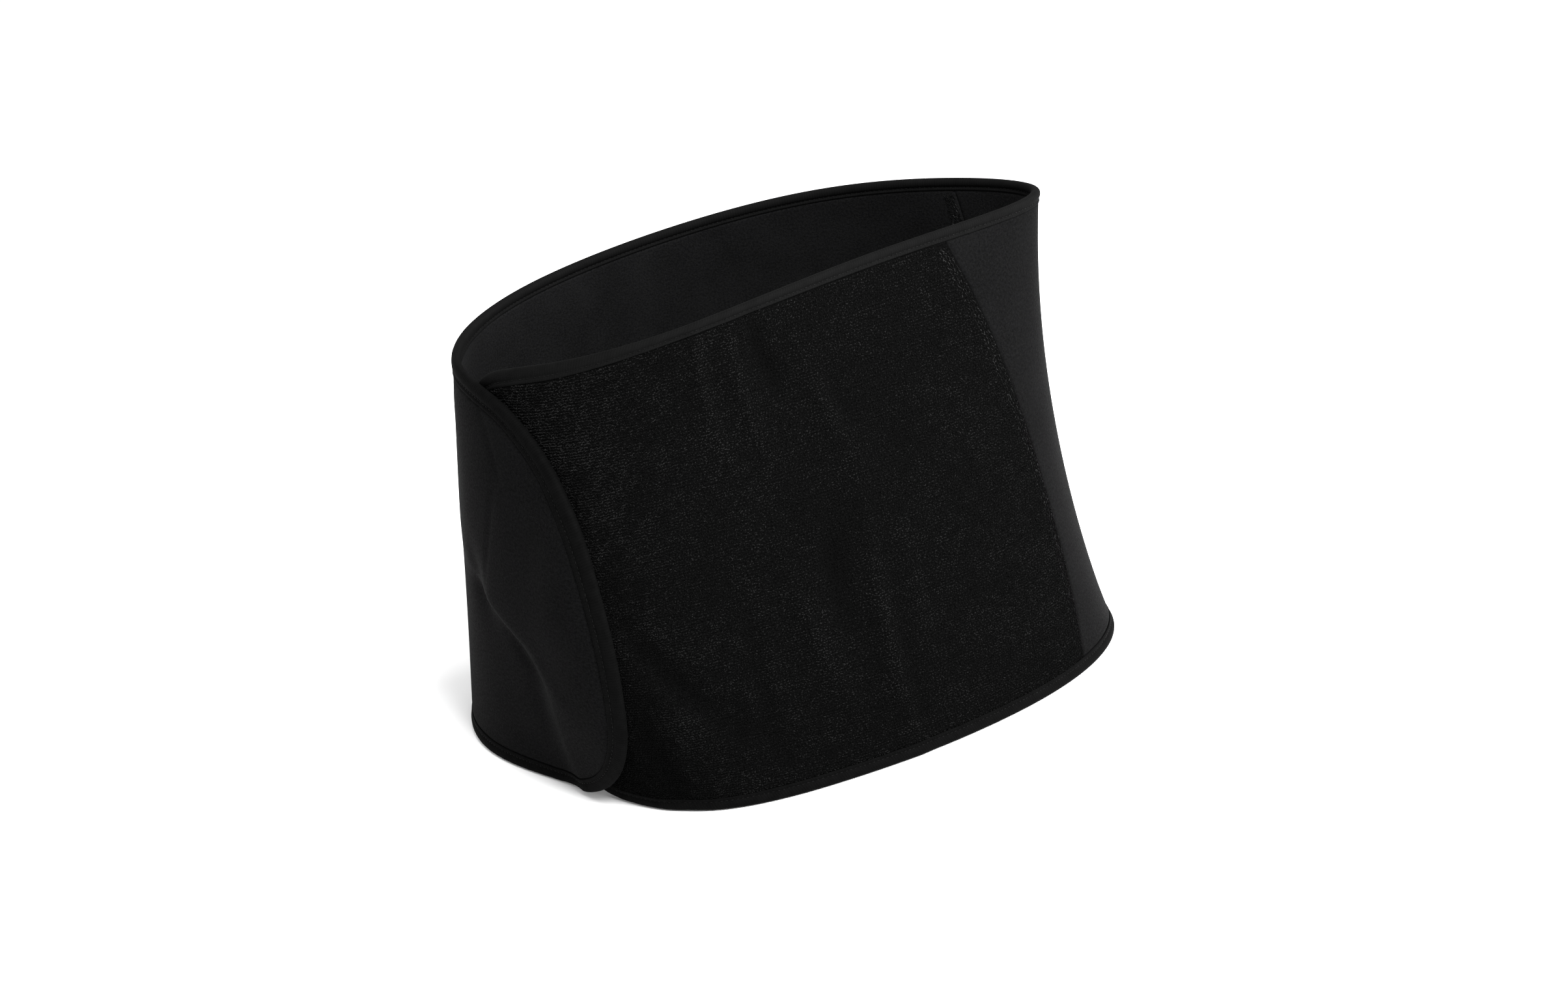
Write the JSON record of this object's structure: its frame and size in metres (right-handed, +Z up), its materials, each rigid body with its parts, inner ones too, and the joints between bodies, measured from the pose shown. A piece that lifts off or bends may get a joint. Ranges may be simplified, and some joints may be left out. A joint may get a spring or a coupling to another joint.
{
  "type": "belly band",
  "caption": "Fastened foam-cloth belly band: an oval waist tube with a looped front panel, a plain side panel, a wrap panel whose rounded flap laps over the front, and bound edges.",
  "frame": {"origin": "middle of the box, on the floor under the lower edge", "axes": "+X to the right side panel, away from the flap; +Y to the rear, away from the looped front panel; +Z up the tube"},
  "size_m": [0.3443, 0.2453, 0.2403],
  "materials": {
    "loop_cloth": "fuzzy looped knit",
    "foam_cloth": "matte fine knit over foam",
    "binding_tape": "matte ribbed tape",
    "hook_tape": "stiff hooked tape"
  },
  "bodies": {
    "root": {"loop_panel": "loop_cloth", "side_panel": "foam_cloth", "wrap_panel": "foam_cloth", "edge_binding": "binding_tape", "hook_patch": "hook_tape"}
  },
  "joints": []
}
